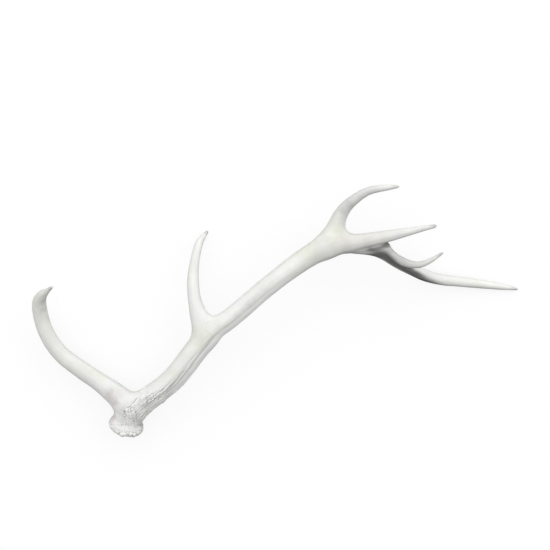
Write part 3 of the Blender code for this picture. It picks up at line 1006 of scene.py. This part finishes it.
def keep_attributes(mesh, branches, grain, out, masks):
    """Stores some masks, and the others that the finish follows, for each vertex."""
    spots = mesh_spots(mesh)
    shaded_fork = near_stations(spots, FORK_SHADE_LINE, FORK_SHADE_REACH)
    masks |= {
        "grain": grain_lines(grain),
        "hollow": hollowness(mesh, spots, out),
        "one_branch": ramp(grain.weights.max(0), *ONE_BRANCH_RAMP),
        # Painted shade along the groove at the low beam's lower edge.
        "edge_shade": edge_line(grain, GROOVE_ANGLE, GROOVE_SHADE_WIDTH),
        "wash": grey_wash(grain),
        "pale_flank": pale_flank_depth(grain),
        "grey": grey_tines(grain, branches),
        "blush": patches(spots, BLUSH_SPOTS),
        "green": patches(spots, GREEN_SPOTS),
        "warm": patches(spots, WARM_SPOTS),
        # Painted shade on the upper side, where the light falls strongest.
        "top_shade": patches(spots, TOP_SHADE_SPOTS) * ramp(out[:, 2], *TOP_SHADE_FACING),
        # Grey smudges, partly painted shade on the neck and the brow tine's hook.
        "smudge_and_shade": patches(spots, SMUDGE_AND_SHADE_SPOTS),
        # Painted shade in the crease under the middle tine.
        "crease_shade": near_stations(spots, CREASE_SHADE_LINE, CREASE_SHADE_REACH),
        # Painted shade on the back fork's flank that faces away from the light.
        "fork_shade": shaded_fork * facing(out, FORK_SHADE_WAY, FORK_SHADE_SLOPE),
        # Painted shade on the crown's lower side.
        "flank": facing(out, FLANK_WAY, FLANK_SLOPE) * ramp(spots[:, 0], *FLANK_FROM),
    }
    for name, values in masks.items():
        add_attribute(mesh, name, values)


def grain_lines(grain):
    """Where each spot is in its own branch's grain, in metres, with the grain along z."""
    lines = np.array([grain.line(index, 1.0, 1.0) for index in range(len(grain.gaps))])
    return lines[grain.best, np.arange(len(grain.best))]


def hollowness(mesh, spots, out):
    """How hollow the skin is at each spot: above 0 in a hollow, below 0 on a ridge."""
    middle = spots
    for _ in range(HOLLOW_ROUNDS):
        middle = relax(mesh, middle)
    return np.clip(((middle - spots) * out).sum(1) / HOLLOW_DEPTH, -1.0, 1.0)


def near_stations(spots, stations, reach):
    """1 inside a line of stations, down to 0 over a reach outside it."""
    gap, _, _, _ = Branch("line", stations, 0.0, 0.0).measure(spots)
    return 1 - ramp(gap, *reach)


def facing(out, way, slope):
    """How far each spot faces a way: 0 to 1 between two cosines."""
    return ramp(out @ np.array(way), *slope)


def add_attribute(mesh, name, values):
    kind, field = ("FLOAT_VECTOR", "vector") if values.ndim > 1 else ("FLOAT", "value")
    layer = mesh.attributes.new(name, kind, "POINT")
    layer.data.foreach_set(field, values.astype(np.float32).ravel())


def make_antler(box):
    """The antler as one fine skin."""
    branches = [Branch(*entry) for entry in BRANCHES]
    mesh = joined_skin(branches)
    settle_mesh(mesh, branches, rounds=3, passes=2)
    spots = mesh_spots(mesh)
    beam_gap, _, beam_along, beam_angle = branches[0].measure(spots)
    low = (beam_along < FINE_STRETCH) & (beam_gap < FINE_GAP) & (np.cos(beam_angle) > FINE_LEAN)
    at_tip = tip_distance(spots, branches) < FINE_TIP
    refine(mesh, low | at_tip | (burr_reach(spots) < FINEST_REACH))
    spots = mesh_spots(mesh)
    refine(mesh, (burr_reach(spots) < FINEST_REACH) & (spots[:, 2] > FINEST_FROM))
    settle_mesh(mesh, branches, rounds=1, passes=1)
    carve(mesh, branches, box)
    mesh.name = "antler"
    antler = linked_object("antler", mesh)
    mesh.shade_smooth()
    return antler


def set_inputs(node, inputs, tree):
    """Links each input to a socket, or sets it to a plain value."""
    for name, value in inputs.items():
        if isinstance(value, bpy.types.NodeSocket):
            tree.links.new(value, node.inputs[name])
        else:
            node.inputs[name].default_value = value


def add_node(tree, kind, inputs, **settings):
    node = tree.nodes.new(kind)
    for name, value in settings.items():
        setattr(node, name, value)
    set_inputs(node, inputs, tree)
    return node


def attribute(tree, name, output="Fac"):
    return add_node(tree, "ShaderNodeAttribute", {}, attribute_name=name).outputs[output]


def noise_value(tree, place, scale, detail=3.0, roughness=0.5):
    inputs = {"Vector": place, "Scale": scale, "Detail": detail, "Roughness": roughness}
    return add_node(tree, "ShaderNodeTexNoise", inputs).outputs["Fac"]


def remap(tree, value, start, end, low=0.0, high=1.0, kind="LINEAR"):
    inputs = {"Value": value, "From Min": start, "From Max": end, "To Min": low, "To Max": high}
    node = add_node(tree, "ShaderNodeMapRange", inputs, clamp=True, interpolation_type=kind)
    return node.outputs["Result"]


def maths(tree, operation, first, second):
    inputs = {0: first, 1: second}
    return add_node(tree, "ShaderNodeMath", inputs, operation=operation, use_clamp=True).outputs[0]


def product(tree, first, second):
    return maths(tree, "MULTIPLY", first, second)


# The Mix node has its own sockets for a number and for a colour.
def mixed_float(tree, share, first, second):
    inputs = {0: share, 2: first, 3: second}
    return add_node(tree, "ShaderNodeMix", inputs, data_type="FLOAT").outputs[0]


def mixed(tree, share, first, second):
    inputs = {0: share, 6: first, 7: second}
    return add_node(tree, "ShaderNodeMix", inputs, data_type="RGBA").outputs[2]


# Fine bone: its grain as a noise's scale, detail and roughness, its pores' scale
# and ramp, the same for where they are left out, and how much they show.
FINE_GRAIN = (900.0, 4.0, 0.6)
PORE_SCALE = 420.0
PORE_RAMP = (0.05, 0.3, 1.0, 0.0)
PORE_PATCH_SCALE = 55.0
PORE_PATCH_RAMP = (0.45, 0.65)
PORES_SHOWN = 0.35


def bone_pores(tree, place):
    """The fine grain and pores of bone, as a height, and the pores as a mask."""
    cells = add_node(tree, "ShaderNodeTexVoronoi", {"Vector": place, "Scale": PORE_SCALE})
    pore = remap(tree, cells.outputs["Distance"], *PORE_RAMP)
    patch = remap(tree, noise_value(tree, place, PORE_PATCH_SCALE), *PORE_PATCH_RAMP)
    pore = product(tree, product(tree, pore, patch), PORES_SHOWN)
    return maths(tree, "SUBTRACT", noise_value(tree, place, *FINE_GRAIN), pore), pore


WHITE_BONE = (0.76, 0.765, 0.745, 1.0)
CREAM_BONE = (0.74, 0.745, 0.69, 1.0)
GREEN_BONE = (0.705, 0.715, 0.615, 1.0)
BLUSH_BONE = (0.66, 0.58, 0.565, 1.0)
WARM_BONE = (0.735, 0.715, 0.67, 1.0)
SEAL_BONE = (0.5, 0.49, 0.46, 1.0)
CHALK = (0.88, 0.88, 0.87, 1.0)
# Also painted shade: on the upper side, on the crown's short tine, and in some smudges.
GREY_STAIN_AND_SHADE = (0.42, 0.42, 0.405, 1.0)
# Also painted shade: in the groove past the low beam's flat and on the crown's lower side.
DARK_STAIN_AND_SHADE = (0.26, 0.255, 0.24, 1.0)
TIP_STAIN = (0.4, 0.4, 0.36, 1.0)
# Painted shade, for the back fork's flank and the crease under the middle tine.
PAINTED_FORK_SHADE = (0.11, 0.108, 0.105, 1.0)

# Noises as (scale, detail, roughness), each with the ramp that it goes through.
PATCHY_NOISE = (90.0, 3.0, 0.6)
PATCHY_RAMP = (0.35, 0.6)
CREAM_NOISE = (9.0, 2.0)
CREAM_RAMP = (0.4, 0.62)
MOTTLE_NOISE = (70.0, 4.0, 0.6)
MOTTLE_RAMP = (0.45, 0.7)

# Layers of tint over white bone, from the lowest up: a mask or an attribute, the
# shares of it that show where the patchy noise is least and most, and the tint.
LAYERS = (
    ("cream", 1.0, 1.0, CREAM_BONE),
    ("green", 0.3, 1.0, GREEN_BONE),
    ("blush", 0.3, 1.0, BLUSH_BONE),
    ("warm", 1.0, 1.0, WARM_BONE),
    ("mottle", 0.35, 0.35, CHALK),
    # Painted shade on the upper side, where the light falls strongest.
    ("top_shade", 0.22, 0.22, GREY_STAIN_AND_SHADE),
    # On the crown's short tine this grey is painted shade.
    ("grey", 1.0, 1.0, GREY_STAIN_AND_SHADE),
    # Grey smudges, partly painted shade on the neck and the brow tine's hook.
    ("smudge_and_shade", 0.25, 0.6, GREY_STAIN_AND_SHADE),
    ("wash", 0.3, 0.5, GREY_STAIN_AND_SHADE),
    ("pale_flank", 0.9, 0.9, CHALK),
    ("broad_streaks", 0.22, 0.22, GREY_STAIN_AND_SHADE),
    ("fine_streaks", 0.55, 0.55, DARK_STAIN_AND_SHADE),
    ("chalk_streaks", 1.0, 1.0, CHALK),
    ("pearl_cracks", 0.32, 0.32, DARK_STAIN_AND_SHADE),
    ("pearl_tops", 0.8, 0.8, CHALK),
    ("hollows", 1.0, 1.0, DARK_STAIN_AND_SHADE),
    ("ridges", 1.0, 1.0, CHALK),
    ("pale_flank", 0.5, 0.5, CHALK),
    # Painted shade along the groove at the low beam's lower edge.
    ("edge_shade", 0.6, 0.6, DARK_STAIN_AND_SHADE),
    ("pores", 0.5, 0.5, GREY_STAIN_AND_SHADE),
    ("seal", 0.5, 0.5, SEAL_BONE),
    # Painted shade on the crown's lower side.
    ("flank", 0.55, 0.55, DARK_STAIN_AND_SHADE),
    # Painted shade on the back fork's flank that faces away from the light.
    ("fork_shade", 1.0, 1.0, PAINTED_FORK_SHADE),
    # Painted shade in the crease under the middle tine.
    ("crease_shade", 0.85, 0.85, PAINTED_FORK_SHADE),
    ("tips", 0.3, 0.7, TIP_STAIN),
)

# Streaks: how fine they are across and along the grain, and where in the noise
# they start and are full. Only a share is left away from the rough stretch.
STREAKS = {
    "broad_streaks": ((130.0, 130.0, 14.0), 0.45, 0.7),
    "fine_streaks": ((300.0, 300.0, 18.0), 0.52, 0.58),
    "chalk_streaks": ((300.0, 300.0, 18.0), 0.47, 0.41),
}
STREAK_SHARES = (0.06, 1.0)

# The ramps of the other masks, and their shares off and on the low beam or, for
# the back fork's painted shade, the broad streaks.
CRACK_RAMP = (-0.05, -0.35)
TOP_RAMP = (0.1, 0.5)
HOLLOW_RAMP = (0.1, 0.8)
HOLLOW_SHARES = (0.3, 0.9)
RIDGE_RAMP = (-0.2, -0.9)
RIDGE_SHARES = (0.2, 0.8)
FORK_SHADE_SHARES = (0.8, 1.0)
TIP_RAMP = (0.72, 0.98)

# The finish. A tine's roughness goes from the first to the second at its tip.
TINE_ROUGHNESS = (0.56, 0.4)
LOW_ROUGHNESS = 0.68
BONE_SPECULAR = 0.2
STREAK_BUMP = 0.4
BUMP_STRENGTH = 0.35
BUMP_DISTANCE = 0.4 * MM


def share_by(tree, value, low, high):
    """A share that goes from low to high while the value goes from 0 to 1."""
    return remap(tree, value, 0.0, 1.0, low, high)


def streak_masks(tree):
    """Long fine streaks along the grain: a mask for each kind."""
    masks = {}
    for name, (width, least, most) in STREAKS.items():
        inputs = {"Vector": attribute(tree, "grain", "Vector"), "Scale": width}
        place = add_node(tree, "ShaderNodeMapping", inputs, vector_type="POINT").outputs["Vector"]
        masks[name] = remap(tree, noise_value(tree, place, 1.0), least, most)
    return masks


def bone_material():
    """Bleached bone: tints, streaks, stains and painted shade over each other, and smoother tines.
    """
    material = bpy.data.materials.new("bleached_bone")
    material.use_nodes = True
    tree = material.node_tree
    place = add_node(tree, "ShaderNodeTexCoord", {}).outputs["Object"]
    hollow = attribute(tree, "hollow")
    low_beam = attribute(tree, "low_beam")
    near_tip = attribute(tree, "near_tip")
    small_pearls = attribute(tree, "small_pearls")
    patchy = remap(tree, noise_value(tree, place, *PATCHY_NOISE), *PATCHY_RAMP)
    fine_height, pores = bone_pores(tree, place)
    streaks = streak_masks(tree)
    streaky = product(tree, attribute(tree, "streaky"), attribute(tree, "one_branch"))
    streaky = share_by(tree, streaky, *STREAK_SHARES)
    masks = {name: product(tree, mask, streaky) for name, mask in streaks.items()}
    hollow_shares = share_by(tree, low_beam, *HOLLOW_SHARES)
    ridge_shares = share_by(tree, low_beam, *RIDGE_SHARES)
    fork_shade_shares = share_by(tree, streaks["broad_streaks"], *FORK_SHADE_SHARES)
    masks |= {
        "cream": remap(tree, noise_value(tree, place, *CREAM_NOISE), *CREAM_RAMP),
        "mottle": remap(tree, noise_value(tree, place, *MOTTLE_NOISE), *MOTTLE_RAMP),
        "pearl_cracks": remap(tree, small_pearls, *CRACK_RAMP),
        "pearl_tops": remap(tree, small_pearls, *TOP_RAMP),
        "hollows": product(tree, remap(tree, hollow, *HOLLOW_RAMP), hollow_shares),
        "ridges": product(tree, remap(tree, hollow, *RIDGE_RAMP), ridge_shares),
        "pores": pores,
        # The back fork's painted shade, broken up by the broad streaks.
        "fork_shade": product(tree, attribute(tree, "fork_shade"), fork_shade_shares),
        "tips": remap(tree, near_tip, *TIP_RAMP),
    }
    colour = WHITE_BONE
    for name, least, most, tint in LAYERS:
        mask = masks[name] if name in masks else attribute(tree, name)
        shown = product(tree, mask, share_by(tree, patchy, least, most))
        colour = mixed(tree, shown, colour, tint)

    rough = share_by(tree, near_tip, *TINE_ROUGHNESS)
    grooves = product(tree, streaks["fine_streaks"], STREAK_BUMP)
    height = maths(tree, "ADD", fine_height, grooves)
    inputs = {"Strength": BUMP_STRENGTH, "Distance": BUMP_DISTANCE, "Height": height}
    finish = {
        "Base Color": colour,
        "Roughness": mixed_float(tree, low_beam, rough, LOW_ROUGHNESS),
        "Normal": add_node(tree, "ShaderNodeBump", inputs).outputs["Normal"],
        "Metallic": 0.0,
        "Specular IOR Level": BONE_SPECULAR,
    }
    set_inputs(tree.nodes["Principled BSDF"], finish, tree)
    return material


# The floor glows for the camera, so that it looks white and takes almost no shadow.
FLOOR_SIDE = 40.0
FLOOR_DROP = 0.2 * MM
FLOOR_GREY = (0.16, 0.16, 0.16, 1.0)
FLOOR_ROUGHNESS = 0.9
FLOOR_GLOW = 0.83
WHITE = (1.0, 1.0, 1.0, 1.0)


def make_floor():
    """A wide pale floor, which only the camera sees glow."""
    bm = bmesh.new()
    bmesh.ops.create_grid(bm, x_segments=1, y_segments=1, size=FLOOR_SIDE / 2)
    bmesh.ops.translate(bm, verts=bm.verts, vec=(0.0, 0.0, -FLOOR_DROP))
    mesh = bpy.data.meshes.new("floor")
    bm.to_mesh(mesh)
    bm.free()
    floor = linked_object("floor", mesh)
    material = bpy.data.materials.new("pale_floor")
    material.use_nodes = True
    tree = material.node_tree
    seen = add_node(tree, "ShaderNodeLightPath", {}).outputs["Is Camera Ray"]
    finish = {
        "Base Color": FLOOR_GREY,
        "Roughness": FLOOR_ROUGHNESS,
        "Specular IOR Level": 0.0,
        "Emission Color": WHITE,
        "Emission Strength": product(tree, seen, FLOOR_GLOW),
    }
    set_inputs(tree.nodes["Principled BSDF"], finish, tree)
    floor.data.materials.append(material)


# The picture shows this width at this level above the floor.
CAMERA_HEIGHT = 3.0
CAMERA_PLACE = (-3.9 * MM, 67.4 * MM, CAMERA_HEIGHT)
FRAME_WIDTH = 0.99
FRAME_LEVEL = 0.06
SENSOR = 36.0


def make_camera():
    """Straight above the antler, so that the picture's up is +Y."""
    camera = bpy.data.cameras.new("camera")
    camera.sensor_width = SENSOR
    camera.lens = SENSOR * (CAMERA_HEIGHT - FRAME_LEVEL) / FRAME_WIDTH
    obj = linked_object("camera", camera)
    obj.location = CAMERA_PLACE
    bpy.context.scene.camera = obj


# The studio: a dim tent, which looks brighter to the camera, with wide soft
# panels, each given by the way to its middle, where its edge starts and ends as
# a cosine, and how bright it is.
TENT_GLOW = 0.09
TENT_SEEN = 0.97
PANELS = (
    ((0.82, 0.56, 0.14), 0.55, 0.73, 1.65),
    ((-0.78, 0.12, 0.615), 0.53, 0.67, 0.88),
    ((0.22, -0.4, 0.89), 0.72, 0.955, 0.86),
    ((-0.25, 0.88, 0.4), 0.6, 0.92, 0.9),
)


def make_light():
    """Soft light from the picture's top and sides. Slopes towards its bottom are dim."""
    world = bpy.data.worlds.new("studio_tent")
    world.use_nodes = True
    tree = world.node_tree
    background = tree.nodes["Background"]
    way = add_node(tree, "ShaderNodeTexCoord", {}).outputs["Generated"]
    glow = TENT_GLOW
    for middle, start, end, strength in PANELS:
        lean = add_node(tree, "ShaderNodeVectorMath", {0: way, 1: middle}, operation="DOT_PRODUCT")
        panel = remap(tree, lean.outputs["Value"], start, end, 0.0, strength, "SMOOTHSTEP")
        inputs = {0: panel, 1: glow}
        glow = add_node(tree, "ShaderNodeMath", inputs, operation="ADD").outputs["Value"]
    seen = add_node(tree, "ShaderNodeLightPath", {}).outputs["Is Camera Ray"]
    strength = mixed_float(tree, seen, glow, TENT_SEEN)
    set_inputs(background, {"Color": WHITE, "Strength": strength}, tree)
    bpy.context.scene.world = world
    bpy.context.scene.view_settings.view_transform = "Standard"


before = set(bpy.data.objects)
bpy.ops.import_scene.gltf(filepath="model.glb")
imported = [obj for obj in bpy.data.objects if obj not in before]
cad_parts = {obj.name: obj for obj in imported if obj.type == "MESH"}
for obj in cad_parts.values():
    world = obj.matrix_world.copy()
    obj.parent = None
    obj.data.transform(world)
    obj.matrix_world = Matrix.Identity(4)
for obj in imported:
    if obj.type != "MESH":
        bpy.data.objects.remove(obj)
cad_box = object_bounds()
antler = make_antler(np.array([list(corner) for corner in cad_box]))
antler.data.materials.append(bone_material())
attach(antler, "root")
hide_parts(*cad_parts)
make_floor()
make_camera()
make_light()
